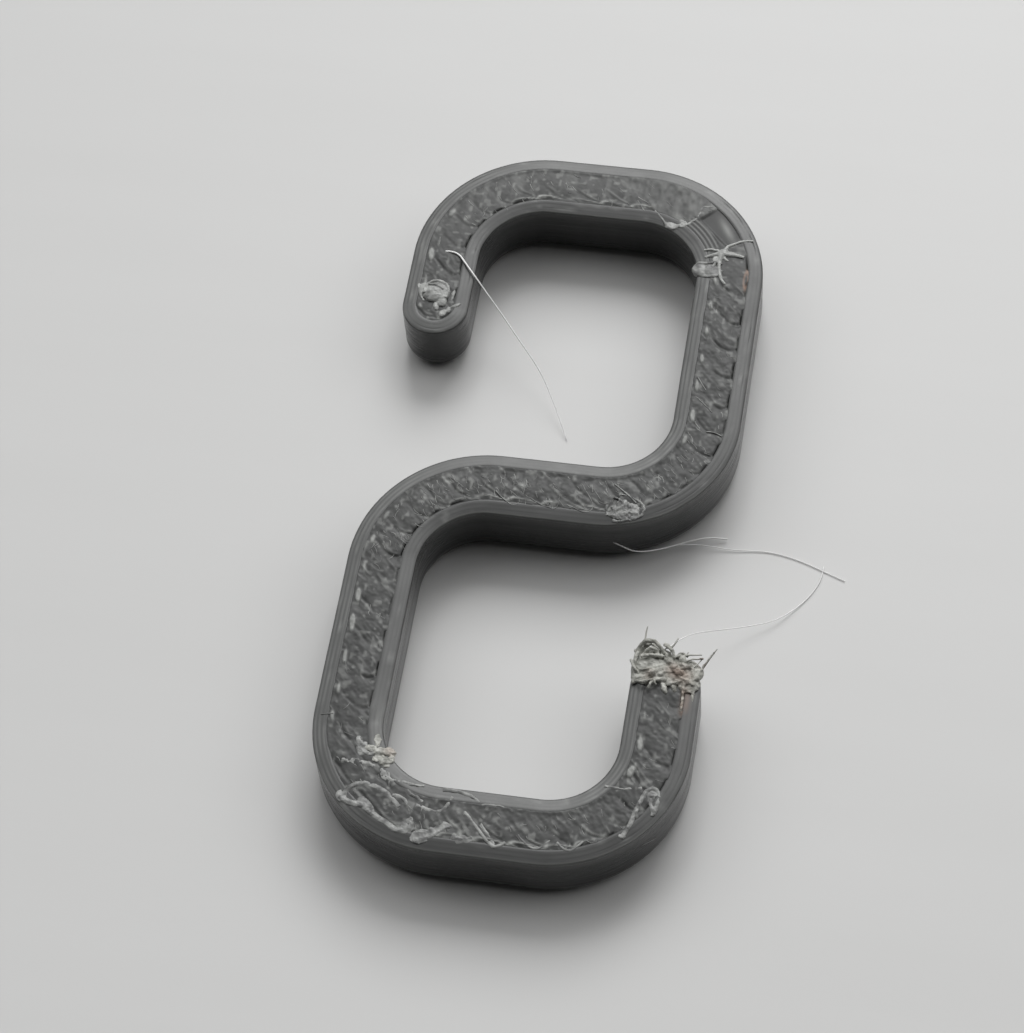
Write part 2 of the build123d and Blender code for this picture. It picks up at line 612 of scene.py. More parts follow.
@dataclass
class PrintedBar:
    """The bar's layers, its walls' beads on top and its round free ends."""

    layer: float = 0.2
    bulge: float = 0.007
    unevenness: float = 0.01
    groove: float = 0.024
    top_waver: float = 0.014
    side_waver: float = 0.011
    arc_steps: int = 26
    cap_steps: int = 34
    straight_step: float = 0.8
    seed: int = 7

    shoulder = (
        (2.992, -0.5), (2.995, -0.4), (2.992, -0.3), (2.978, -0.215), (2.948, -0.155),
        (2.895, -0.118), (2.81, -0.098), (2.72, -0.08), (2.64, -0.064), (2.585, -0.056),
        (2.53, -0.048), (2.45, -0.036), (2.35, -0.023), (2.25, -0.008), (2.165, 0.004),
        (2.08, 0.015), (2.0, 0.025), (1.9, 0.034), (1.8, 0.036), (1.72, 0.02),
        (1.65, -0.02), (1.6, -0.2), (1.58, -0.5), (0.0, -0.52),
    )
    grooves = (2.895, 2.585, 2.165)
    GROOVED = "grooved"

    def envelope(self, z: float) -> float:
        """Half the bar's width at a height, where the foot is rounded."""
        foot = PLAN.foot_radius
        if z >= foot:
            return PLAN.half
        return PLAN.half - foot + math.sqrt(max(foot * foot - (foot - z) ** 2, 0.0))

    def half_section(self) -> list[tuple[float, float]]:
        """Right half of the section, from the middle below, out and up, to the middle on top."""
        rng = np.random.default_rng(self.seed)
        layers = round(PLAN.bar_height / self.layer)
        points = [(0.0, 0.0), (0.7, 0.0), (PLAN.half - PLAN.foot_radius, 0.0)]
        for number in range(layers - 3):
            shift = rng.uniform(-self.unevenness, self.unevenness)
            for share, bulge in ((0.0, 0.0), (0.25, 0.75), (0.5, 1.0), (0.78, 0.75)):
                z = (number + share) * self.layer
                if number == 0 and share == 0.0:
                    continue
                points.append((self.envelope(z) - self.bulge * (1 - bulge) + shift * bulge, z))
        return points + [(place, PLAN.bar_height + drop) for place, drop in self.shoulder]

    def section_ring(self) -> bpy.types.Object:
        """Closed ring of the whole section, stood across the start of the centre line.

        Returns:
            The object, whose points are the section's.
        """
        half = self.half_section()
        section = half + [(-x, z) for x, z in reversed(half[1:-1])]
        clear_selection()
        bpy.ops.mesh.primitive_circle_add(vertices=len(section), radius=1.0, location=(0, 0, 0))
        ring = named("hook_bar")
        start = PLAN.stretches()[0]
        off = np.array([-x for x, _ in section])
        x, y, _ = start.place(np.zeros(len(section)), off)
        move_points(ring, np.column_stack([x, y, [z for _, z in section]]))
        grooved = [float(abs(place) in self.grooves) for place, _ in section]
        layer = ring.data.attributes.new(self.GROOVED, "FLOAT", "POINT")
        layer.data.foreach_set("value", grooved)
        return ring

    def sweep(self) -> None:
        """Carries the selected ring along the centre line, as the printer's head went."""
        for stretch in PLAN.stretches():
            if stretch.turn is Turn.AHEAD:
                steps = max(1, round(stretch.length / self.straight_step))
                step = stretch.length / steps
                way = (step * math.cos(stretch.heading), step * math.sin(stretch.heading), 0.0)
                for _ in range(steps):
                    bpy.ops.mesh.extrude_region_move(TRANSFORM_OT_translate={"value": way})
            else:
                self.spin(stretch.centre(), stretch.turn.value * math.pi / 2, self.arc_steps)

    def spin(self, centre: tuple[float, float], angle: float, steps: int) -> None:
        """Spins what is selected about an upright axis."""
        bpy.ops.mesh.spin(steps=steps, angle=angle, center=(*centre, 0.0), axis=(0.0, 0.0, -1.0))

    def select_end(self, tip: tuple[float, float]) -> None:
        """Selects the half ring at a free tip that its round end is spun from."""
        bpy.ops.mesh.select_all(action="DESELECT")
        mesh = bmesh.from_edit_mesh(bpy.context.object.data)
        for edge in mesh.edges:
            if all(
                abs(corner.co.y - tip[1]) < 0.01 and -0.01 < tip[0] - corner.co.x < 4.0
                for corner in edge.verts
            ):
                edge.select_set(True)
        bmesh.update_edit_mesh(bpy.context.object.data)

    def soften(self, piece: bpy.types.Object) -> None:
        """Lets the beads waver a little, as drawn plastic does."""
        points = coordinates(piece)
        waver, ripple = PlaneNoise(11), PlaneNoise(12)
        x, y, z = points.T
        top = smoothed(5.6, 5.9, z)
        points[:, 2] += top * self.top_waver * waver.at(x / 0.9 + 90, y / 0.9 + 90)
        grooved = np.empty(len(points))
        piece.data.attributes[self.GROOVED].data.foreach_get("value", grooved)
        worn = smoothed(-0.4, 0.4, waver.at(x * 0.9, y / 4 + 60))
        arm = smoothed(9.6, 10.4, np.abs(x)) * (0.55 + 0.45 * worn)
        depth = self.groove * (0.3 + 0.7 * arm)
        points[:, 2] -= grooved * depth * (0.7 + 0.6 * waver.at(x / 0.7 + 30, y / 0.7 + 10))
        piece.data.attributes.remove(piece.data.attributes[self.GROOVED])
        side = (1 - top) * smoothed(0.1, 0.6, z)
        points[:, 0] += side * self.side_waver * ripple.at(y / 2.1 + 80, z / 0.2 + 10)
        points[:, 1] += side * self.side_waver * ripple.at(x / 2.1 + 40, z / 0.2 + 50)
        move_points(piece, points)

    def build(self) -> list[bpy.types.Object]:
        """Builds the bar.

        Returns:
            The finished piece, which stands for the hook's solid.
        """
        ring = self.section_ring()
        choose(ring)
        bpy.ops.object.mode_set(mode="EDIT")
        bpy.ops.mesh.select_all(action="SELECT")
        self.sweep()
        for tip, angle in zip(PLAN.tips, (math.pi, -math.pi)):
            self.select_end(tip)
            self.spin(tip, angle, self.cap_steps)
        bpy.ops.object.mode_set(mode="OBJECT")
        tidied(ring)
        self.soften(ring)
        self.dress(ring)
        finished(ring, FINISHES.plastic(FINISHES.bar), 35.0)
        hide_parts(NODE)
        return [ring]

    def dress(self, piece: bpy.types.Object) -> None:
        """Marks the whitened and stained places of the walls, with painted highlights and painted
        shade.
        """
        x, y, z = coordinates(piece).T
        speck, streak = PlaneNoise(21), PlaneNoise(22)
        # Scuffs on the walls, and the whitened end under the crown
        scuff = smoothed(0.55, 0.9, speck.at(x * 1.7 + 60, y * 1.7 + 60)) * smoothed(5.7, 5.95, z)
        tip = hump(x, 13.6, 3.0) * smoothed(-18.5, -15.6, y) * smoothed(-10.0, -14.0, y)
        tip *= smoothed(4.6, 6.0, z)
        torn = 0.55 * tip * (0.7 + 0.5 * speck.at(x * 3, y * 3))
        off, out_x, out_y = beside(x, y)
        top, south = smoothed(5.6, 5.85, z), smoothed(0.2, 0.9, -out_y)
        # Painted highlight on the crests of the beads, most of all where a wall lies to the left of
        # the line
        crest_highlight = hump(off, 2.02, 0.08) + hump(off, 2.38, 0.09) + hump(off, 2.74, 0.07)
        crest_highlight *= smoothed(5.6, 5.8, z) * (0.04 + 0.14 * smoothed(0.3, 0.8, -out_x))
        crest_highlight *= 0.7 + 0.5 * speck.at(x * 2, y)
        # Painted light on the upper part of the near, south-facing outer sides and a painted highlight
        # on the north half of the top; and a smear beside the lower left corner
        high = 0.2 * south * smoothed(2.75, 2.93, off) * smoothed(4.4, 5.7, z)
        high += 0.05 * top * smoothed(0.2, 0.9, out_y)
        smear = hump(y, -24.3, 2.3) * top * (0.6 + 0.5 * speck.at(x * 2.2, y * 1.2))
        smear *= hump(x, -10.45, 0.55)
        pale = 0.12 * scuff + crest_highlight + torn + high + 0.2 * smear
        mark(piece, Mark.PALE, np.clip(pale, 0, 1))
        # Painted shade: the darker foot of the sides, and the darker inner edge of the walls at the
        # near side
        inner = top * smoothed(1.5, 1.75, off) * (1 - smoothed(2.7, 2.93, off))
        low = 0.7 * (1 - smoothed(0.8, 4.8, z)) + 0.38 * south * inner
        mark(piece, Mark.TONE_AND_SHADE, np.clip(low + 0.05 * streak.at(x * 2, y * 2), 0, 1))
        # The brown run below the crown
        run = hump(x, 14.95, 0.3) * smoothed(-20.6, -19.4, y) * smoothed(-14.6, -15.8, y)
        mark(piece, Mark.STAIN, 0.4 * run * smoothed(5.2, 5.7, z))


@dataclass
class BeadedSkin:
    """The skin between the walls: soft diagonal pads of drawn plastic that the wall turns back."""

    step: float = 0.1
    reach: float = 1.95
    wall_edge: float = 1.7
    thread: float = 0.21
    pad_pitch: float = 2.12
    level: float = 5.955
    sunk: float = 5.5
    cap_rows: int = 48
    crown: float = 0.1
    valley_depth: float = 0.1
    rim_rise: float = 0.04
    gap_depth: float = 0.34
    blob_rise: float = 0.09
    scallop_rise: float = 0.05
    under_depth: float = 0.03
    film_level: float = 6.04
    corner_level: float = 5.98

    def stations(self) -> list[tuple[float, bool]]:
        """Places across half the skin, each with whether it is on top or tucked under."""
        count = round(self.reach / self.step)
        top = [(self.reach * number / count, True) for number in range(count + 1)]
        return top + [(self.reach - 0.04, False), (0.0, False)]

    def heights(self, x: Array, y: Array, off: Array, out_x: Array, out_y: Array) -> dict[str, Array]:
        """Height and marks of the skin.

        Args:
            x: how far right the points are.
            y: how far up the long way they are.
            off: how far they are from the centre line.
            out_x: X of the way from the centre line to them.
            out_y: Y of that way.

        Returns:
            The height, and a value for each mark.
        """
        drift, broad, fine, tear = PlaneNoise(1), PlaneNoise(2), PlaneNoise(3), PlaneNoise(4)
        # Where on the S a point is, and how far it lies towards the side where the pads turn back
        upright = np.abs(out_x)
        side = (out_y - out_x) / math.sqrt(2)
        turned, ended = smoothed(0.15, 0.6, side), smoothed(0.15, 0.6, -side)
        toward = off * np.clip(-side * 1.414, -1.0, 1.0)
        # Diagonal pads: which one a point is on, and where on it
        across = (x + y) / math.sqrt(2) + 0.12 * drift.at(x * 0.8 + 60, y * 0.8 + 60)
        down = (x - y) / math.sqrt(2)
        bend = 0.95 * np.clip((toward - 0.1) / 1.6, 0.0, 1.0) ** 2
        pad = (across - bend) / self.pad_pitch + 0.1 * broad.at(down / 3 + 50, across / 5 + 50) + 50
        number = np.floor(pad)
        phase = pad - number
        edge = np.minimum(phase, 1 - phase) * self.pad_pitch
        weight = broad.at(down / 1.5 + 30, np.floor(pad + 0.5) * 3.7)
        spread = tear.at(down / 0.9 + 20, number * 5.1)
        # Heights: valleys between the pads, fine threads along them, and their raised rims
        valley = hump(edge, 0.0, 0.14) * np.clip(0.55 + 0.9 * weight, 0.0, 1.0)
        worn = 1 - 0.55 * smoothed(22.0, 26.0, y)
        valley *= smoothed(-1.5, -0.6, toward) * (0.4 + 0.6 * upright) * worn
        streak = fine.at(across / self.thread + 200, down / 0.8 + 200)
        mottle = fine.at(x * 1.6 + 40, y * 1.6 + 40)
        z = self.level + self.crown * (1 - (off / self.wall_edge) ** 2)
        z += worn * (0.016 * streak + 0.025 * np.sin(math.pi * phase) - self.valley_depth * valley)
        z += worn * (0.03 * mottle + 0.016 * tear.at(x * 5 + 300, y * 5 + 300))
        highlit_rim = hump(phase * self.pad_pitch, 0.3, 0.1) * np.clip(0.25 + 1.1 * spread, 0, 1)
        highlit_rim *= (0.3 + 0.7 * (1 - upright)) * smoothed(-0.6, 0.4, toward)
        z += self.rim_rise * highlit_rim + 0.02 * smoothed(0.9, self.wall_edge, off)
        z += (0.065 * turned + 0.03 * ended) * smoothed(1.3, 1.75, off)
        # Gaps where the pads stop short of the wall, and blobs where they turn back at it
        open_part = smoothed(0.0, 0.06, phase) * (1 - smoothed(0.42, 0.58, phase))
        gap = hump(off, 1.67, 0.12) * ended * open_part * np.clip(0.8 + 0.7 * weight, 0.1, 1)
        gap *= 0.08 + 0.92 * upright
        z -= self.gap_depth * gap
        blob = hump(off, 1.33, 0.27) * turned * hump(edge, 0.0, 0.54)
        blob *= np.clip(0.85 + 0.6 * weight, 0.1, 1.1) * (1 + 0.25 * mottle)
        blob = smoothed(0.3, 0.62, blob) * (0.08 + 0.92 * smoothed(0.8, 0.97, upright))
        z += self.blob_rise * blob
        # The scalloped edge on the bars that run across, whose paleness is a painted highlight, with
        # painted shade just beyond it
        arch = 1.58 - 0.34 * np.sin(math.pi * phase)
        level_side = ended * (1 - smoothed(0.3, 0.6, upright)) * np.clip(0.75 + 0.8 * weight, 0.0, 1.0)
        scallop = hump(off, arch, 0.075) * level_side
        under = smoothed(0.08, 0.2, off - arch) * level_side
        z += self.scallop_rise * scallop - self.under_depth * under
        # Tones: painted highlights on the blobs, the scallops, the pads' rims and the threads' crests;
        # painted shade in the valleys, the gaps, under the scallops and in the low places of the
        # threads and the mottle; the rest is random tone
        flecks = smoothed(0.25, 0.8, streak) * smoothed(-0.2, 0.5, tear.at(x * 0.9 + 15, y * 0.9 + 33))
        pits = smoothed(0.15, 0.75, tear.at(x * 2.3 + 140, y * 2.3 + 160))
        flecks *= 0.6 + 0.4 * (1 - upright)
        # Painted highlights on the blobs, scallops and rims, with paler thread crests
        pale = 0.5 * blob + 0.6 * scallop + worn * (0.5 * highlit_rim + 0.3 * flecks)
        pale += 0.22 * smoothed(0.35, 0.85, tear.at(x * 2.6 + 70, y * 2.6 + 20))
        pads = smoothed(-0.1, 0.7, drift.at(x / 0.62 + 110, y / 2.6 + 110)) * smoothed(25.0, 28.5, y)
        pale += 0.1 * pads * smoothed(-1.4, -0.2, -toward)
        # Painted shade in the valleys, gaps and under the scallops, with random dark pits
        hollow = 0.3 * valley + 0.75 * gap + 0.25 * under + 0.3 * worn * pits
        hollow += worn * (0.16 * smoothed(0.1, 0.9, -streak) - 0.14 * mottle)
        faces = {"z": z, "pale": pale, "hollow": hollow, "stain": np.zeros(len(x))}
        self.lay_film(x, y, faces)
        self.lay_corner_beads(x, y, faces)
        self.lay_bare_patch(x, y, faces)
        self.lay_torn_end(x, y, faces)
        faces["pale"] = np.clip(faces["pale"], 0, 1)
        faces["hollow"] = np.clip(faces["hollow"], 0, 0.85)
        return faces

    def cover(self, faces: dict[str, Array], share: Array, **values: Array) -> None:
        """Draws the skin's height and marks towards new values by a share."""
        for name, value in values.items():
            faces[name] += share * (value - faces[name])

    def lay_film(self, x: Array, y: Array, faces: dict[str, Array]) -> None:
        """Spreads the thin film over the upper right corner."""
        line = (x - 2.5) * 0.68 + (y - 33.2) * 0.73
        share = smoothed(0.0, 0.25, line) * smoothed(29.1, 29.5, y)
        share *= smoothed(0.0, 0.25, 0.9 * (9.0 - x) + 0.45 * (y - 30.2))
        patch = PlaneNoise(5).at(x * 1.4, y * 1.4)
        grain = PlaneNoise(9).at(x * 4.1 + 40, y * 2.3 + 40)
        bright = 0.1 * smoothed(0.0, 0.7, patch) + 0.06 * grain
        bright += 0.3 * hump(x, 7.4, 0.7) * hump(y, 30.1, 0.45)
        level = self.film_level + 0.035 * patch + 0.02 * grain
        dull = 0.2 * smoothed(0.0, 0.8, -patch)
        self.cover(faces, share, z=level, pale=0.06 + bright, hollow=dull)

    def lay_corner_beads(self, x: Array, y: Array, faces: dict[str, Array]) -> None:
        """Lays the wall beads that show between the film and the bare patch, with a painted highlight
        on their crests and painted shade between them.
        """
        across = x - PLAN.arm_x + PLAN.corner_radius
        up = y - PLAN.end_y + PLAN.corner_radius
        far, turn = np.hypot(across, up), np.degrees(np.arctan2(up, across))
        share = smoothed(25.0, 28.0, turn) * (1 - smoothed(53.0, 57.0, turn))
        share *= 1 - smoothed(8.2, 8.4, far)
        crest = 0.5 + 0.5 * np.cos((far - 6.9) / 0.4 * 2 * math.pi)
        level = self.corner_level + 0.07 * crest
        # Pale crests are a painted highlight and the darker troughs painted shade
        self.cover(faces, share, z=level, pale=0.22 * crest, hollow=0.55 * (1 - crest))

    def lay_bare_patch(self, x: Array, y: Array, faces: dict[str, Array]) -> None:
        """Smooths the bare patch on the upper right corner, with its soft sheen painted as a highlight
        and painted shade round it.
        """
        along, over = (x + y) / math.sqrt(2), (x - y) / math.sqrt(2)
        share = smoothed(28.0, 28.4, along) * (1 - smoothed(30.9, 31.2, along))
        share *= smoothed(-14.9, -14.6, over) * (1 - smoothed(-11.0, -10.4, over))
        sheen = hump(x - 12.2, (29.2 - y) * 0.55, 0.42) * hump(y, 29.4, 1.1)
        level = self.level - 0.04 + 0.06 * sheen
        # The sheen is a painted highlight and the darker rest painted shade
        self.cover(faces, share, z=level, pale=0.36 * sheen, hollow=0.42 * (1 - sheen))

    def lay_torn_end(self, x: Array, y: Array, faces: dict[str, Array]) -> None:
        """Whitens and stains the skin beside the torn crown."""
        tear = PlaneNoise(6).at(x * 3, y * 2)
        torn = smoothed(-18.6, -16.8, y) * smoothed(9.5, 10.5, x) * smoothed(-10, -13, y)
        faces["pale"] += 0.6 * torn * (0.6 + 0.5 * tear)
        band = hump(x, 14.75, 0.3) * smoothed(-20.9, -19.9, y) * smoothed(-14.8, -16.0, y)
        star = hump(np.hypot((x - 14.5) / 0.2, (y - 24.2) / 0.9), 1.0, 0.35)
        faces["stain"] += 0.55 * band + 0.8 * star

    def grid(
        self, name: str, columns: list[tuple[float, bool]], rows: list[tuple[Array, ...]]
    ) -> bpy.types.Object:
        """Lays a grid of points on the skin.

        Args:
            name: what the grid is called.
            columns: each column's place across and whether it is on top.
            rows: x, y, off, and the outward way of the points of each row.

        Returns:
            The mesh object.
        """
        clear_selection()
        across, down = len(columns) - 1, len(rows) - 1
        bpy.ops.mesh.primitive_grid_add(x_subdivisions=across, y_subdivisions=down, size=1.0)
        piece = named(name)
        x, y, off, out_x, out_y = (np.concatenate(values) for values in zip(*rows))
        faces = self.heights(x, y, off, out_x, out_y)
        on_top = np.array([flag for _, flag in columns] * len(rows))
        tuck = 0.25 * smoothed(1.78, self.reach, off)
        z = np.where(on_top, faces["z"] - tuck, self.sunk)
        move_points(piece, np.column_stack([x, y, z]))
        for kind in Mark:
            mark(piece, kind, faces[kind.value])
        return piece

    def strip(self) -> bpy.types.Object:
        """The skin along the centre line.

        Returns:
            The mesh object.
        """
        half = self.stations()
        right = [(place, flag) for place, flag in reversed(half)]
        columns = [(-place, flag) for place, flag in right] + half[1:]
        line = []
        for stretch in PLAN.stretches():
            count = round(stretch.length / self.step)
            first = 0 if not line else 1
            line += [(stretch, stretch.length * number / count) for number in range(first, count + 1)]
        off = np.array([place for place, _ in columns])
        sign = np.where(off < 0, -1.0, 1.0)
        rows = []
        for stretch, along in line:
            x, y, heading = stretch.place(np.full(len(off), along), off)
            rows.append((x, y, np.abs(off), -np.sin(heading) * sign, np.cos(heading) * sign))
        return self.grid("hook_skin", columns, rows)

    def cap(self, tip: tuple[float, float], first: float) -> bpy.types.Object:
        """The skin's round end at a free tip.

        Args:
            tip: the tip's centre.
            first: the angle where its half turn starts.

        Returns:
            The mesh object.
        """
        columns = self.stations()
        off = np.array([place for place, _ in columns])
        flat = np.ones(len(off))
        rows = []
        for row in range(self.cap_rows + 1):
            angle = first + math.pi * row / self.cap_rows
            out_x, out_y = math.cos(angle), math.sin(angle)
            rows.append((tip[0] + off * out_x, tip[1] + off * out_y, off, flat * out_x, flat * out_y))
        return self.grid("hook_skin_end", columns, rows)

    def build(self) -> list[bpy.types.Object]:
        """Builds the skin.

        Returns:
            The finished piece.
        """
        skin = self.strip()
        ends = [self.cap(tip, first) for tip, first in zip(PLAN.tips, (math.pi, 0.0))]
        choose(skin)
        for end in ends:
            end.select_set(True)
        bpy.ops.object.join()
        tidied(skin, 0.003)
        return [finished(skin, FINISHES.plastic(FINISHES.skin), 75.0)]


class HookTop:
    """Finds the height of the hook's top, so that stray plastic lies on it."""

    def __init__(self) -> None:
        """Takes the skin and the walls' section."""
        self.skin = BeadedSkin()
        shoulder = sorted(PrintedBar.shoulder[:-2])
        self.places = [place for place, _ in shoulder]
        self.drops = [drop for _, drop in shoulder]

    def heights(self, x: Array, y: Array) -> Array:
        """Height of the top at points of the plan.

        Args:
            x: how far right they are.
            y: how far up the long way they are.

        Returns:
            The heights.
        """
        nearest, out_x, out_y = beside(x, y)
        off = np.clip(nearest, 0.0, PLAN.half)
        wall = PLAN.bar_height + np.interp(off, self.places, self.drops)
        faces = self.skin.heights(x, y, off, out_x, out_y)
        inner = np.maximum(faces["z"], np.where(off > self.skin.wall_edge, wall, 0.0))
        return np.where(off < self.skin.reach, inner, wall)

    def seat(self, points: Sequence[tuple[float, float]], lift: float) -> list[Point]:
        """Places of plan points at a height above the top."""
        plan = np.array(points)
        heights = self.heights(plan[:, 0], plan[:, 1])
        return [(x, y, float(z) + lift) for (x, y), z in zip(points, heights)]


@dataclass(frozen=True)
class Strand:
    """A thin strand of stray plastic along bent points, with its half width at both ends."""

    points: tuple[Point, ...]
    girth: float = 0.2
    tip: float = 0.1

    def curve(self) -> bpy.types.Object:
        """The strand as a mesh tube along a smooth curve.

        Returns:
            The mesh object.
        """
        data = bpy.data.curves.new("strand", "CURVE")
        data.dimensions = "3D"
        data.bevel_depth = 1.0
        data.bevel_resolution = 2
        data.resolution_u = 6
        data.use_fill_caps = True
        spline = data.splines.new("NURBS")
        spline.points.add(len(self.points) - 1)
        for number, (point, at) in enumerate(zip(spline.points, self.points)):
            share = number / (len(self.points) - 1)
            point.co = (*at, 1.0)
            point.radius = self.girth * (1 - share) + self.tip * share
        spline.order_u = 3
        spline.use_endpoint_u = True
        piece = bpy.data.objects.new("strand", data)
        bpy.context.scene.collection.objects.link(piece)
        choose(piece)
        bpy.ops.object.convert(target="MESH")
        return bpy.context.object


@dataclass(frozen=True)
class Trail:
    """A strand that lies on the hook's top along points of its plan."""

    points: tuple[tuple[float, float], ...]
    girth: float = 0.15
    tip: float = 0.12
    lift: float = 0.0

    def strand(self, top: HookTop) -> Strand:
        """The strand, seated on the top."""
        return Strand(tuple(top.seat(self.points, self.lift)), self.girth, self.tip)


@dataclass(frozen=True)
class Blob:
    """A soft blob of stray plastic: its place on the plan, lift, lengths and turn."""

    x: float
    y: float
    length: float
    width: float
    height: float = 0.4
    turn: float = 0.0
    lift: float = -0.02

    def ball(self, top: HookTop) -> bpy.types.Object:
        """The blob as a squeezed and turned ball, seated on the top.

        Args:
            top: the hook's top.

        Returns:
            The mesh object.
        """
        clear_selection()
        bpy.ops.mesh.primitive_ico_sphere_add(subdivisions=4, radius=0.5, location=(0, 0, 0))
        piece = bpy.context.object
        points = coordinates(piece) * np.array((self.length, self.width, self.height))
        angle = math.radians(self.turn)
        x = points[:, 0] * math.cos(angle) - points[:, 1] * math.sin(angle) + self.x
        y = points[:, 0] * math.sin(angle) + points[:, 1] * math.cos(angle) + self.y
        level = top.seat([(self.x, self.y)], self.lift)[0][2]
        move_points(piece, np.column_stack([x, y, points[:, 2] + level]))
        return piece


def stepped(place: Sequence[float], reach: float, heading: float) -> tuple[float, float]:
    """A point of the plan at a distance and a heading from another."""
    return place[0] + reach * math.cos(heading), place[1] + reach * math.sin(heading)


def joined(name: str, parts: Sequence[bpy.types.Object]) -> bpy.types.Object:
    """Joins meshes into one object with a name."""
    choose(parts[0])
    for part in parts[1:]:
        part.select_set(True)
    if len(parts) > 1:
        bpy.ops.object.join()
    return named(name)


@dataclass(frozen=True)
class Melt:
    """Stray plastic that ran together: strands and blobs merged into one soft body."""

    name: str
    trails: tuple[Trail, ...] = ()
    blobs: tuple[Blob, ...] = ()
    strands: tuple[Strand, ...] = ()
    grain: float = 0.05
    rough: float = 0.035
    detail: float = 2.3
    flat: float = 0.6
    soft: int = 3
    seed: int = 5
    pale: float = 0.3
    # strength of the painted highlight on the steep sides
    highlit_rim: float = 0.5
    finish: PlasticFinish = Finishes.stray
    # how clear the plastic looks: it takes whiteness away and paints shade on the flatter parts
    clear: float = 0.35
    tints: tuple[Tint, ...] = ()

    def build(self, top: HookTop) -> bpy.types.Object:
        """Builds the body by merging its parts on a fine grid.

        Args:
            top: the hook's top.

        Returns:
            The finished piece.
        """
        parts = [trail.strand(top).curve() for trail in self.trails]
        parts += [strand.curve() for strand in self.strands]
        parts += [blob.ball(top) for blob in self.blobs]
        piece = joined(self.name, parts)
        points = coordinates(piece)
        low = PLAN.bar_height
        z = points[:, 2]
        points[:, 2] = np.where(z > low, low + (z - low) * self.flat, z)
        move_points(piece, points)
        piece.data.remesh_voxel_size = self.grain
        bpy.ops.object.voxel_remesh()
        soften = piece.modifiers.new("soften", "SMOOTH")
        soften.factor = 0.5
        soften.iterations = self.soft
        bpy.ops.object.modifier_apply(modifier=soften.name)
        self.roughen(piece)
        tidied(piece, 0.001)
        self.dress(piece)
        return finished(piece, FINISHES.plastic(self.finish), 70.0)

    def roughen(self, piece: bpy.types.Object) -> None:
        """Throws the surface about a little, by the same noise in each run."""
        noise.seed_set(self.seed)
        points = coordinates(piece)
        for point in points:
            place = Vector(point) * self.detail
            throw = np.array(noise.noise_vector(place))
            point += self.rough * (throw + 0.4 * np.array(noise.noise_vector(place * 2.7)))
        move_points(piece, points)

    def dress(self, piece: bpy.types.Object) -> None:
        """Marks the pale rims as painted highlights on the steep sides, the darker middle as painted
        shade on the flatter parts, the cloudy tone and the tinted spots.
        """
        x, y, _ = coordinates(piece).T
        normals = np.empty(len(x) * 3)
        piece.data.vertices.foreach_get("normal", normals)
        upward = normals.reshape(-1, 3)[:, 2]
        cloud = clouds(x, y)
        edge = smoothed(0.1, 0.75, 1 - np.abs(upward))
        # Paler steep sides are a painted highlight, and the darker flat parts painted shade
        pale = self.pale * (1 - self.clear) + 0.25 * cloud + self.highlit_rim * edge
        mark(piece, Mark.PALE, np.clip(pale, 0, 1))
        mark(piece, Mark.TONE_AND_SHADE, np.clip(self.clear * (1 - edge) - 0.35 * cloud, 0, 0.7))
        stain = np.zeros(len(x))
        for place_x, place_y, reach, strength in self.tints:
            stain += strength * np.exp(-((x - place_x) ** 2 + (y - place_y) ** 2) / reach**2)
        mark(piece, Mark.STAIN, np.clip(stain, 0, 1))


@dataclass(frozen=True)
class Threads:
    """Fine separate strands, joined into one piece."""

    name: str
    strands: tuple[Strand, ...]
    pale: float = 0.5

    def build(self, material: bpy.types.Material) -> bpy.types.Object:
        """Builds the piece.

        Args:
            material: what it is made of.

        Returns:
            The finished piece.
        """
        piece = joined(self.name, [strand.curve() for strand in self.strands])
        tidied(piece, 0.001)
        x, y, _ = coordinates(piece).T
        cloud = clouds(x, y)
        mark(piece, Mark.PALE, np.clip(self.pale + 0.35 * cloud, 0, 1))
        mark(piece, Mark.TONE_AND_SHADE, np.clip(0.25 - 0.3 * cloud, 0, 1))
        mark(piece, Mark.STAIN, np.zeros(len(x)))
        return finished(piece, material, 60.0)


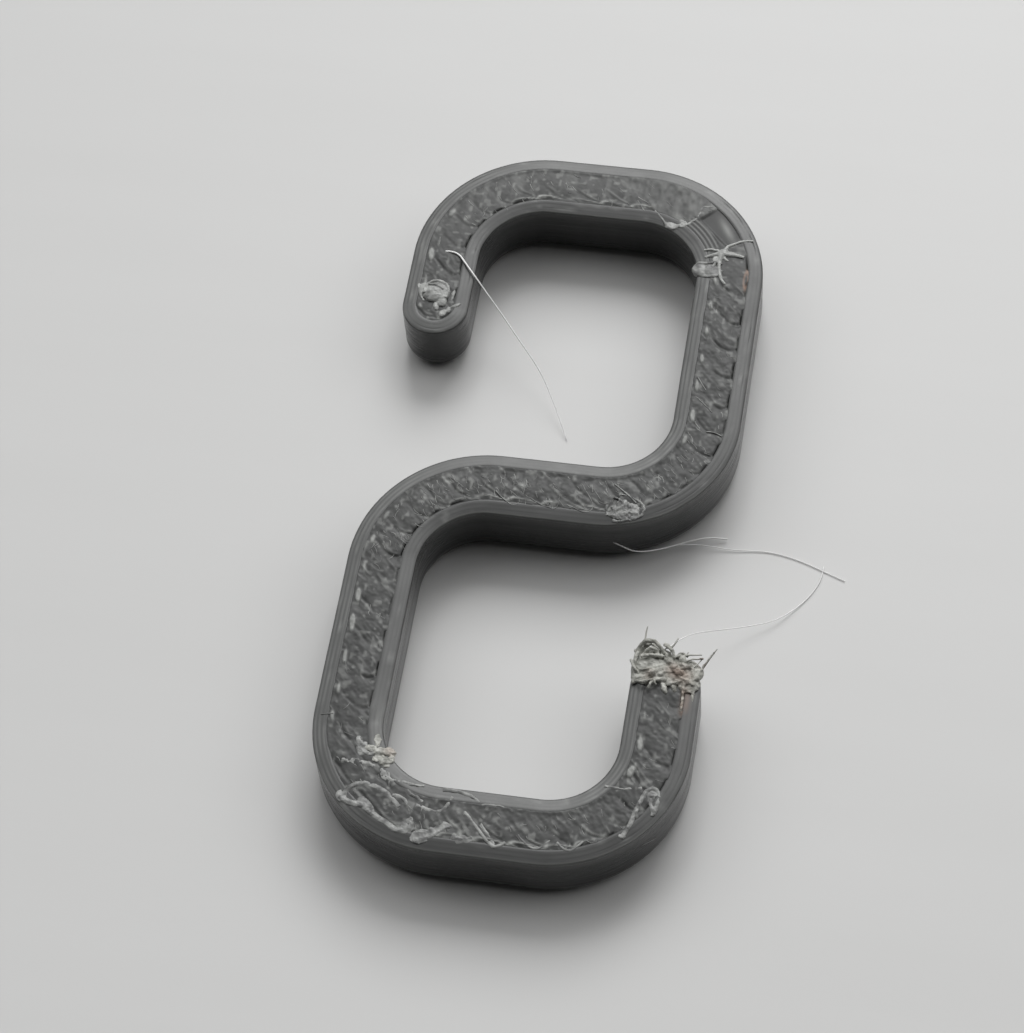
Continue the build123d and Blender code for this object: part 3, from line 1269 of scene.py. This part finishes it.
class StrayPlastic:
    """The lumps, loops, star and film on the hook's top."""

    melts = (
        Melt("tip_knob", rough=0.05, pale=0.45, highlit_rim=0.5, flat=0.85, clear=0.15, blobs=(
            Blob(-13.1, 19.3, 2.5, 2.2, 1.0, 10, 0.06), Blob(-14.3, 19.5, 1.1, 1.5, 0.5, 10),
            Blob(-12.5, 18.4, 1.0, 1.2, 0.6, 20, 0.02), Blob(-12.9, 17.8, 0.5, 0.9, 0.35, 15),
        ), trails=(
            Trail(((-14.2, 19.0), (-14.2, 19.9), (-13.4, 20.5), (-12.4, 20.3), (-11.9, 19.5),
                   (-12.2, 18.7)), 0.2, 0.15, 0.25),
            Trail(((-13.9, 19.9), (-13.2, 20.0), (-12.5, 19.5)), 0.12, 0.08, 0.5),
            Trail(((-14.9, 20.1), (-14.7, 19.0), (-14.1, 18.3)), 0.13, 0.1, 0.02),
        )),
        Melt("tip_scraps", rough=0.05, flat=0.5, blobs=(
            Blob(-12.2, 17.2, 0.9, 0.6, 0.35, 60), Blob(-11.2, 18.1, 1.1, 0.4, 0.3, 35, 0.0),
            Blob(-11.7, 17.6, 0.7, 0.5, 0.25, 80), Blob(-11.6, 19.2, 0.35, 1.4, 0.25, -5),
        ), pale=0.35),
        Melt("star_lobe", rough=0.04, detail=2.2, pale=0.08, highlit_rim=0.7, soft=5, flat=0.5,
             clear=0.45, blobs=(
            Blob(10.4, 24.9, 1.8, 1.6, 0.5, 0, 0.03), Blob(11.3, 24.85, 1.7, 1.3, 0.5, -12, 0.03),
        ), trails=(
            Trail(((9.6, 24.9), (9.9, 25.6), (10.8, 25.5), (11.6, 25.9),
                   (12.1, 25.6)), 0.2, 0.14, 0.16),
            Trail(((9.6, 24.9), (10.0, 24.2), (11.0, 24.15), (12.0, 24.3),
                   (12.2, 25.0)), 0.2, 0.16, 0.1),
        )),
        Melt("star", rough=0.04, pale=0.5, flat=0.75, clear=0.0, blobs=(
            Blob(12.05, 26.85, 1.1, 0.9, 0.5, 30, 0.05), Blob(12.7, 26.8, 1.4, 0.6, 0.35, 0, 0.03),
            Blob(11.6, 26.1, 0.8, 1.1, 0.25, 20),
        ), trails=(
            Trail(((10.5, 26.2), (11.2, 26.6), (12.0, 26.85)), 0.13, 0.22, 0.03),
            Trail(((10.3, 27.0), (11.3, 27.3), (12.0, 26.9)), 0.12, 0.16, 0.03),
            Trail(((12.0, 26.8), (12.3, 27.6), (12.8, 27.9), (13.6, 28.45),
                   (14.6, 28.6)), 0.2, 0.1, 0.04),
            Trail(((12.0, 26.8), (12.7, 26.7), (13.2, 26.8), (14.0, 26.6)), 0.25, 0.16, 0.05),
            Trail(((12.0, 26.8), (11.85, 26.0), (11.9, 25.1), (12.3, 23.7),
                   (12.7, 23.5)), 0.22, 0.12, 0.05),
            Trail(((11.9, 26.5), (11.55, 26.0), (11.3, 25.2)), 0.18, 0.12, 0.03),
            Trail(((12.1, 26.6), (12.3, 26.2), (12.65, 26.05)), 0.16, 0.1, 0.02),
        )),
        Melt("film_edges", rough=0.04, pale=0.3, flat=0.5, blobs=(
            Blob(7.0, 29.5, 1.3, 0.9, 0.2, 20), Blob(8.0, 29.8, 1.0, 0.7, 0.2, -20),
        ), trails=(
            Trail(((2.4, 33.2), (3.5, 32.1), (4.6, 31.6), (5.9, 30.2), (6.4, 29.6)), 0.06, 0.12, 0.0),
            Trail(((3.5, 31.8), (4.3, 30.7)), 0.08, 0.07, 0.01),
            Trail(((6.3, 29.7), (6.7, 29.2), (7.3, 29.1), (7.6, 29.5), (8.0, 29.3),
                   (8.3, 29.6)), 0.2, 0.15, 0.0),
            Trail(((8.3, 29.6), (9.0, 30.2), (9.4, 30.9), (9.5, 31.8)), 0.16, 0.12, -0.03),
            Trail(((9.5, 31.8), (10.5, 31.9)), 0.1, 0.07),
            Trail(((9.7, 31.3), (10.6, 31.6)), 0.08, 0.07),
        )),
        Melt("corner_knob", rough=0.09, detail=3.2, pale=0.35, highlit_rim=0.2, flat=0.5, clear=0.15,
             finish=Finishes.fray, blobs=(
            Blob(-8.95, -27.1, 1.0, 1.1, 0.8, 60, 0.1), Blob(-9.7, -27.2, 1.3, 0.8, 0.6, 15, 0.04),
            Blob(-9.2, -28.1, 1.3, 0.8, 0.6, -50, 0.03), Blob(-10.5, -27.0, 1.1, 0.6, 0.4, -10, 0.0),
            Blob(-9.9, -27.9, 0.8, 0.6, 0.4, 30, 0.0), Blob(-8.7, -27.8, 0.6, 0.9, 0.5, -15, 0.02),
            Blob(-10.1, -26.2, 0.6, 1.2, 0.3, 10, 0.0),
        ), tints=((-8.9, -27.0, 0.55, 0.45),)),
        Melt("corner_scraps", rough=0.06, detail=2.8, pale=0.25, highlit_rim=0.3, flat=0.4,
             clear=0.2, soft=4, blobs=(
            Blob(-11.3, -27.0, 1.0, 1.6, 0.4, 10), Blob(-11.8, -28.3, 1.7, 0.7, 0.35, -12),
            Blob(-10.7, -28.5, 1.1, 0.7, 0.3, 10), Blob(-8.9, -29.2, 0.9, 1.4, 0.3, 35),
        ), trails=(
            Trail(((-11.8, -26.0), (-11.5, -27.0), (-10.9, -27.6), (-10.1, -27.4)), 0.25, 0.2, -0.02),
            Trail(((-12.8, -28.3), (-11.7, -28.5), (-10.9, -28.3), (-9.9, -28.6)), 0.22, 0.2, -0.04),
            Trail(((-8.5, -29.7), (-7.4, -29.6), (-6.4, -29.9), (-5.5, -29.8)), 0.2, 0.14, -0.06),
        )),
        Melt("left_loops", rough=0.045, pale=0.16, highlit_rim=0.5, flat=0.42, blobs=(
            Blob(-10.0, -32.2, 2.0, 0.9, 0.3, -42), Blob(-6.3, -33.5, 1.3, 1.6, 0.25, 0),
            Blob(-5.0, -34.4, 1.9, 1.3, 0.3, 20), Blob(-3.6, -33.5, 2.0, 1.1, 0.3, 32),
            Blob(-1.6, -34.2, 2.0, 0.9, 0.25, 10), Blob(-12.2, -31.6, 1.0, 1.1, 0.25),
        ), trails=(
            Trail(((-12.1, -31.6), (-11.7, -30.6), (-10.6, -30.2), (-9.6, -30.4), (-8.7, -30.7),
                   (-7.8, -31.5), (-7.2, -32.0)), 0.24, 0.24, -0.03),
            Trail(((-12.3, -31.6), (-11.6, -32.2), (-10.4, -32.2), (-9.3, -33.0), (-8.0, -33.6),
                   (-7.2, -34.1), (-6.1, -34.2), (-5.9, -33.3)), 0.32, 0.26, -0.05),
            Trail(((-5.6, -34.8), (-4.4, -34.5), (-3.7, -33.8), (-2.6, -33.1)), 0.28, 0.2, -0.03),
            Trail(((-2.5, -34.1), (-1.6, -34.3), (-0.8, -33.9)), 0.25, 0.2, -0.03),
            Trail(((-5.9, -31.7), (-4.9, -31.9), (-3.9, -32.1), (-3.3, -31.4),
                   (-3.0, -30.5)), 0.22, 0.14, -0.04),
            Trail(((-6.9, -30.5), (-5.9, -30.9), (-5.4, -31.3)), 0.24, 0.16, -0.05),
            Trail(((-3.9, -29.9), (-2.7, -29.9), (-1.3, -30.2), (-0.7, -30.7)), 0.22, 0.15, -0.05),
            Trail(((-8.0, -31.0), (-7.3, -31.0), (-6.4, -31.8), (-6.2, -32.6)), 0.22, 0.16, -0.05),
        )),
        Melt("bent_beads", rough=0.03, pale=0.25, flat=0.5, trails=(
            Trail(((-1.8, -31.7), (-0.7, -32.8), (0.2, -33.8), (0.9, -34.5), (1.5, -34.5),
                   (2.0, -34.0)), 0.14, 0.17, 0.0),
            Trail(((-0.3, -32.6), (0.4, -33.4), (1.1, -34.3)), 0.12, 0.13, 0.0),
            Trail(((2.9, -33.2), (3.7, -34.0), (4.5, -34.3), (5.3, -33.8),
                   (5.9, -32.8)), 0.14, 0.1, -0.02),
            Trail(((6.2, -33.4), (6.9, -34.1), (7.7, -33.9), (8.3, -33.0)), 0.14, 0.1, -0.02),
            Trail(((-0.5, -30.9), (0.4, -30.7), (1.4, -30.9)), 0.12, 0.1, 0.0),
        )),
        Melt("right_loop", rough=0.05, pale=0.2, flat=0.42, blobs=(
            Blob(13.3, -28.3, 0.9, 1.7, 0.22, 12), Blob(11.35, -32.1, 0.6, 0.6, 0.3),
        ), trails=(
            Trail(((9.3, -27.8), (10.2, -27.9), (11.2, -27.9), (12.4, -27.6)), 0.13, 0.17, 0.0),
            Trail(((11.4, -32.0), (11.9, -31.2), (12.1, -29.9), (12.5, -28.5), (12.9, -27.6),
                   (13.4, -27.4), (13.9, -27.8), (13.9, -28.6), (13.6, -29.9)), 0.22, 0.2, -0.02),
            Trail(((13.2, -28.5), (13.5, -29.2), (13.6, -30.0)), 0.2, 0.16, -0.02),
        )),
        Melt("middle_knob", rough=0.07, detail=3.4, pale=0.15, highlit_rim=0.55, flat=0.55, blobs=(
            Blob(7.1, -1.3, 2.7, 1.7, 0.28, 5, 0.0), Blob(6.7, -0.6, 1.3, 0.6, 0.4, 30, 0.02),
            Blob(6.1, -1.9, 1.0, 0.5, 0.4, -30, 0.02), Blob(8.0, -1.1, 0.8, 1.1, 0.35, 10, 0.02),
        ), trails=(
            Trail(((5.6, -0.7), (5.4, -1.4), (5.7, -2.0)), 0.15, 0.12, 0.03),
            Trail(((6.2, -2.4), (6.9, -2.5), (7.6, -2.1)), 0.15, 0.1, 0.03),
            Trail(((7.6, -2.2), (8.5, -1.8), (8.9, -1.0), (8.5, -0.3), (7.7, 0.1)), 0.13, 0.1, 0.04),
            Trail(((6.0, -0.1), (6.8, -0.3), (7.0, -1.0), (6.3, -1.3),
                   (6.1, -2.0)), 0.13, 0.13, 0.13),
            Trail(((7.3, -0.5), (7.7, -1.2), (7.2, -1.8)), 0.12, 0.1, 0.13),
            Trail(((6.9, -1.1), (7.5, -1.5), (8.1, -1.4), (8.3, -0.8)), 0.1, 0.1, 0.12),
            Trail(((5.9, -1.1), (6.5, -1.6), (6.6, -2.2)), 0.1, 0.1, 0.13),
            Trail(((6.4, 0.2), (7.0, 0.4), (7.5, 0.1)), 0.1, 0.08, 0.03),
        )),
    )
    squiggles = (
        Trail(((-4.3, -0.8), (-3.1, -1.9), (-2.4, -2.0), (-1.9, -1.4), (-2.9, -0.7)), 0.05, 0.03),
        Trail(((-1.2, -1.1), (-0.2, -1.7), (0.4, -1.8), (1.1, -2.0), (1.4, -1.3),
               (1.2, -0.2)), 0.045, 0.03),
        Trail(((2.1, -1.4), (2.8, -1.6), (3.3, -1.9), (3.9, -1.9), (4.4, -1.5), (4.1, -0.5),
               (3.5, 0.2)), 0.045, 0.03),
        Trail(((4.1, 0.5), (4.9, -0.5)), 0.05, 0.03),
        Trail(((5.9, 1.2), (6.8, 0.6), (7.5, 0.0), (8.0, -0.4)), 0.06, 0.06, 0.03),
        Trail(((8.7, 1.5), (9.6, 0.9), (9.5, 0.1)), 0.045, 0.03),
        Trail(((9.8, 1.1), (10.7, 0.6), (11.3, 0.8), (11.6, 2.1)), 0.045, 0.035),
        Trail(((11.6, 13.2), (12.2, 12.3), (12.5, 11.9)), 0.06, 0.04, 0.01),
        Trail(((12.0, 10.9), (12.8, 10.2), (13.3, 9.7)), 0.06, 0.04, 0.01),
        Trail(((13.1, 7.6), (13.9, 7.7), (14.5, 7.3)), 0.07, 0.05, 0.04),
        Trail(((-15.3, -24.4), (-14.8, -24.3), (-14.3, -24.2)), 0.06, 0.05),
    )
    scratch = Strand(((12.86, -31.79, 3.9), (13.37, -31.22, 3.5), (13.92, -30.48, 2.95)), 0.07, 0.05)
    fleck_count: int = 320
    crowding = (0.3, 0.8, 0.7, 0.1, 0.35, 2.4, 3.0, 2.4, 0.4, 0.8, 0.8, 0.6, 0.5)
    seed: int = 23

    def flecks(self) -> list[Trail]:
        """Small whitened threads that lie about on the skin of the middle bar and its corners."""
        rng = np.random.default_rng(self.seed)
        made = []
        stretches = PLAN.stretches()
        chances = np.array(self.crowding) * np.array([stretch.length for stretch in stretches])
        for pick in rng.choice(len(stretches), self.fleck_count, p=chances / chances.sum()):
            stretch = stretches[pick]
            along = np.array([rng.uniform(0.0, stretch.length)])
            x, y, _ = stretch.place(along, np.array([rng.uniform(-1.5, 1.5)]))
            angle = math.radians(rng.normal(-50.0, 24.0))
            swing = rng.uniform(-0.4, 0.4)
            reach = rng.uniform(0.1, 0.3)
            bends = [(float(x[0]), float(y[0]))]
            for number in range(3):
                bends.append(stepped(bends[-1], reach, angle + number * swing))
            girth = rng.uniform(0.025, 0.05)
            made.append(Trail(tuple(bends), girth, girth * 0.6, -0.005))
        return made

    def build(self) -> list[bpy.types.Object]:
        """Builds all the stray plastic.

        Returns:
            The finished pieces.
        """
        top = HookTop()
        pieces = [melt.build(top) for melt in self.melts]
        fine = tuple(trail.strand(top) for trail in (*self.squiggles, *self.flecks()))
        material = FINISHES.plastic(FINISHES.stray)
        return pieces + [Threads("skin_threads", (*fine, self.scratch), 0.15).build(material)]


@dataclass
class TornCrown:
    """The ragged, whitened crown at the lower free tip."""

    hairs: int = 3
    loops: int = 16
    lumps: int = 60
    seed: int = 19
    tip: tuple[float, float] = (13.1, -17.3)

    blobs: tuple[Blob, ...] = (
        Blob(12.9, -16.4, 5.8, 2.6, 1.0, -4, 0.12),
        Blob(11.7, -15.3, 2.9, 1.9, 1.1, 5, 0.2),
        Blob(14.9, -16.4, 2.3, 1.7, 0.8, 0, 0.1),
        Blob(11.1, -17.3, 1.6, 1.4, 0.5, 0, 0.05),
        Blob(14.9, -17.4, 2.0, 1.9, 0.5, 0, 0.05),
        Blob(12.9, -18.1, 0.5, 1.3, 0.35, 25, 0.02),
        Blob(13.7, -17.9, 0.5, 1.0, 0.35, 15, 0.02),
    )
    ridges: tuple[Strand, ...] = (
        Strand(((10.2, -15.3, 6.2), (10.5, -14.4, 6.75), (11.2, -14.1, 6.85), (12.0, -14.3, 6.7),
                (12.5, -15.0, 6.4)), 0.2, 0.18),
        Strand(((10.8, -15.3, 6.3), (11.2, -14.8, 6.8), (11.9, -14.9, 6.8),
                (12.2, -15.6, 6.4)), 0.17, 0.15),
        Strand(((12.4, -14.2, 6.5), (13.1, -14.5, 6.8), (13.5, -15.4, 6.5)), 0.18, 0.15),
        Strand(((10.2, -17.5, 6.0), (10.0, -16.3, 6.4), (10.3, -15.2, 6.6)), 0.2, 0.16),
        Strand(((10.6, -15.6, 6.6), (11.6, -15.4, 6.85), (12.6, -15.5, 6.7)), 0.16, 0.16),
        Strand(((14.9, -15.8, 6.4), (15.3, -17.0, 6.3), (15.4, -18.4, 5.95),
                (15.4, -19.4, 5.8)), 0.22, 0.12),
        Strand(((14.5, -16.8, 6.4), (14.6, -18.4, 6.2), (14.6, -20.1, 6.0)), 0.16, 0.12),
        Strand(((14.1, -15.6, 6.3), (15.0, -15.3, 6.6), (15.9, -15.2, 6.7)), 0.11, 0.08),
        Strand(((15.6, -16.7, 6.1), (16.0, -15.7, 6.5), (16.7, -14.5, 6.75)), 0.12, 0.07),
    )
    tints: tuple[Tint, ...] = (
        (13.5, -16.7, 0.7, 0.5),
        (14.5, -16.9, 0.7, 0.5),
        (14.6, -18.4, 0.5, 0.5),
        (14.6, -19.5, 0.5, 0.5),
        (15.8, -15.4, 0.45, 0.4),
        (11.5, -17.2, 0.5, 0.3),
    )
    spikes: tuple[Strand, ...] = (
        Strand(((10.8, -14.5, 6.4), (10.7, -13.7, 6.7), (10.8, -12.9, 6.9)), 0.09, 0.05),
        Strand(((15.7, -16.4, 6.2), (16.2, -15.4, 6.5), (16.9, -14.2, 6.75)), 0.09, 0.05),
        Strand(((12.9, -14.6, 6.4), (13.4, -14.0, 6.6), (13.5, -13.5, 6.6)), 0.1, 0.06),
        Strand(((13.6, -15.1, 6.3), (14.4, -15.0, 6.6), (15.7, -14.9, 6.7)), 0.08, 0.06),
    )

    def tangle(self) -> list[Strand]:
        """Short bent loops that mat together over the torn end."""
        rng = np.random.default_rng(self.seed)
        made = []
        for _ in range(self.loops):
            angle = math.radians(rng.uniform(60, 190))
            near = rng.uniform(0.2, 2.5)
            x = self.tip[0] + near * math.cos(angle)
            y = self.tip[1] + near * math.sin(angle) * 1.05
            heading, swing = rng.uniform(0, 6.28), rng.uniform(-1.5, 1.5)
            reach = rng.uniform(0.35, 0.7)
            bends = [(x, y, 6.0)]
            for number in range(3):
                heading += swing
                rise = 6.35 + rng.uniform(-0.1, 0.3) * (number < 2)
                bends.append((*stepped(bends[-1], reach, heading), rise))
            girth = rng.uniform(0.1, 0.16)
            made.append(Strand(tuple(bends), girth, girth * 0.8))
        return made

    def matting(self) -> tuple[Blob, ...]:
        """Small lumps that fill the torn end and roughen its outline."""
        rng = np.random.default_rng(self.seed + 2)
        made = []
        for _ in range(self.lumps):
            x = rng.uniform(10.3, 15.7)
            far = -14.1 - 1.1 * float(smoothed(12.6, 14.0, np.array([x]))[0])
            y = rng.uniform(-17.6, far)
            length, width = rng.uniform(0.6, 1.2), rng.uniform(0.4, 0.75)
            turn = rng.uniform(-90, 90)
            lift = rng.uniform(0.2, 0.55) * (1 if y > -17.0 else 0.4)
            made.append(Blob(x, y, length, width, rng.uniform(0.4, 0.7), turn, lift))
        return tuple(made)

    def fringe(self) -> list[Strand]:
        """Thin hairs that stand out of the crown's far edge."""
        rng = np.random.default_rng(self.seed + 1)
        made = []
        for _ in range(self.hairs):
            angle = math.radians(rng.uniform(20, 165))
            far = rng.uniform(2.6, 3.3) + rng.uniform(0.0, 0.7)
            swing = angle + rng.uniform(-0.35, 0.35)
            start = (*stepped(self.tip, 1.9, angle), 6.2)
            middle = (*stepped(self.tip, 2.6, angle), 6.6)
            end = (*stepped(self.tip, far, swing), 6.3 + rng.uniform(0.0, 0.4))
            made.append(Strand((start, middle, end), 0.08, 0.045))
        return made

    def build(self) -> list[bpy.types.Object]:
        """Builds the crown.

        Returns:
            The finished pieces.
        """
        mass = Melt(
            "crown_mass",
            blobs=(*self.blobs, *self.matting()),
            strands=(*self.ridges, *self.tangle()),
            rough=0.07,
            detail=3.4,
            flat=1.0,
            soft=3,
            pale=0.2,
            highlit_rim=0.25,
            clear=0.1,
            finish=Finishes.fray,
            tints=self.tints,
        )
        fringe = Threads("crown_fringe", (*self.spikes, *self.fringe()), 0.45)
        return [mass.build(HookTop()), fringe.build(FINISHES.plastic(FINISHES.fray))]


class Hairs:
    """The hair-thin strings that the nozzle drew from the hook."""

    strings = (
        ("upper_hair", Strand(((-13.05, 23.95, 6.0), (-12.0, 24.0, 6.15), (-10.95, 22.65, 6.22),
                               (-9.8, 21.3, 6.15), (-8.65, 20.25, 5.3), (-7.3, 19.05, 4.4),
                               (-4.95, 16.6, 3.2), (-3.05, 14.7, 2.2), (-1.4, 12.15, 1.1),
                               (0.26, 8.85, 0.12)), 0.1, 0.035)),
        ("middle_hair", Strand(((5.9, -2.7, 3.0), (6.9, -2.9, 2.7), (8.3, -3.2, 2.3),
                                (10.2, -1.9, 1.0), (13.1, -0.35, 0.8), (14.6, 0.25, 0.5),
                                (15.9, 0.35, 0.3)), 0.05, 0.07)),
        ("low_hair", Strand(((11.65, -1.12, 0.9), (13.1, -0.75, 0.65), (14.5, -0.6, 0.4),
                             (16.3, -0.65, 0.2), (19.3, -0.3, 0.1), (21.2, -0.55, 0.1),
                             (22.9, -1.0, 0.1), (25.2, -1.9, 0.1), (26.6, -2.4, 0.1)), 0.04, 0.035)),
        ("crown_hair", Strand(((12.7, -14.4, 6.2), (13.3, -13.3, 5.6), (14.25, -11.8, 4.4),
                               (15.4, -10.6, 3.0), (16.3, -9.9, 2.2), (18.6, -8.6, 1.0),
                               (21.1, -7.4, 0.5), (22.8, -5.6, 0.12), (23.9, -4.1, 0.1),
                               (24.6, -2.4, 0.1), (24.6, -1.2, 0.1)), 0.045, 0.035)),
    )

    def build(self) -> list[bpy.types.Object]:
        """Builds the hairs.

        Returns:
            The finished pieces.
        """
        material = FINISHES.hair()
        return [Threads(name, (strand,)).build(material) for name, strand in self.strings]


@dataclass
class Studio:
    """The board, the light and the camera."""

    board_side: float = 900.0
    turn: float = 14.288
    height: float = 58.890
    roll: float = -5.822
    distance: float = 292.157
    target: Point = (-3.3844, 0.3573, 0.0)
    lens: float = 114.38
    key_height: float = 43.0
    key_turn: float = 3.0
    key_away: float = 2200.0
    key_side: float = 1250.0
    key_power: float = 30.0
    low_sky: float = 0.045
    dome: float = 1.25

    def way(self, round_about: float, height: float) -> Vector:
        """The way to something, from its angle round the hook from +X and its height in degrees."""
        flat, up = math.radians(round_about), math.radians(height)
        return Vector((math.cos(flat) * math.cos(up), math.sin(flat) * math.cos(up), math.sin(up)))

    def board(self) -> bpy.types.Object:
        """The pale board that the hook lies on.

        Returns:
            The board.
        """
        clear_selection()
        bpy.ops.mesh.primitive_plane_add(size=self.board_side * MM, location=(0, 0, 0))
        piece = named("board")
        piece.data.materials.append(FINISHES.board())
        return piece

    def window(self) -> None:
        """The window beyond the hook's far side."""
        way = self.way(90.0 - self.key_turn, self.key_height)
        bpy.ops.object.light_add(type="AREA", location=way * self.key_away * MM)
        lamp = bpy.context.object
        lamp.name = "window_light"
        lamp.data.shape = "RECTANGLE"
        lamp.data.size = self.key_side * MM
        lamp.data.size_y = self.key_side * MM
        lamp.data.energy = self.key_power
        lamp.rotation_euler = way.to_track_quat("Z", "Y").to_euler()

    def sky(self) -> None:
        """The bright ceiling over the far side and overhead, and the faint rest of the room."""
        world = bpy.data.worlds.new("plain_sky")
        world.use_nodes = True
        nodes = Nodes(world.node_tree)
        background = nodes.add("Background")
        output = nodes.add("OutputWorld")
        way = nodes.add("SeparateXYZ")
        nodes.join(nodes.add("TexCoord").outputs["Generated"], way.inputs[0])
        high = nodes.rise(way.outputs["Z"], 0.3, 0.55)
        far = nodes.rise(way.outputs["Y"], -0.24, 0.2)
        aside = nodes.reckon("MULTIPLY", nodes.reckon("ABSOLUTE", way.outputs["X"], 0.0), 2.0)
        glow = nodes.reckon("MULTIPLY", nodes.reckon("ADD", aside, 0.5), self.dome)
        ceiling = nodes.reckon("MULTIPLY", nodes.reckon("MULTIPLY", high, far), glow)
        nodes.join(nodes.reckon("ADD", ceiling, self.low_sky), background.inputs["Strength"])
        nodes.join(background.outputs[0], output.inputs["Surface"])
        bpy.context.scene.world = world

    def camera(self) -> None:
        """The camera where the picture was taken from."""
        roll = math.radians(self.roll)
        back = self.way(self.turn - 90.0, self.height)
        right = (-back).cross(Vector((0, 0, 1))).normalized()
        up = right.cross(-back)
        across = right * math.cos(roll) + up * math.sin(roll)
        above = up * math.cos(roll) - right * math.sin(roll)
        place = (Vector(self.target) + back * self.distance) * MM
        bpy.ops.object.camera_add(location=place)
        camera = bpy.context.object
        camera.name = "camera"
        camera.data.lens = self.lens
        camera.data.sensor_width = 36.0
        camera.data.clip_start = 0.01
        axes = [(across[row], above[row], back[row], place[row]) for row in range(3)]
        camera.matrix_world = Matrix((*axes, (0.0, 0.0, 0.0, 1.0)))
        bpy.context.scene.camera = camera

    def build(self) -> None:
        """Sets up the board, the light and the camera."""
        self.camera()
        self.board()
        self.window()
        self.sky()
        bpy.context.scene.view_settings.view_transform = "Standard"


def main() -> None:
    """Builds the hook's pieces in order."""
    logging.basicConfig(level=logging.INFO, format="%(message)s")
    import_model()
    Studio().build()
    LOG.info("camera, board and light are set")
    for maker in (PrintedBar(), BeadedSkin(), StrayPlastic(), TornCrown(), Hairs()):
        for piece in maker.build():
            LOG.info("%s: %d faces", piece.name, len(piece.data.polygons))
    bpy.context.view_layer.update()


if __name__ == "__main__":
    main()
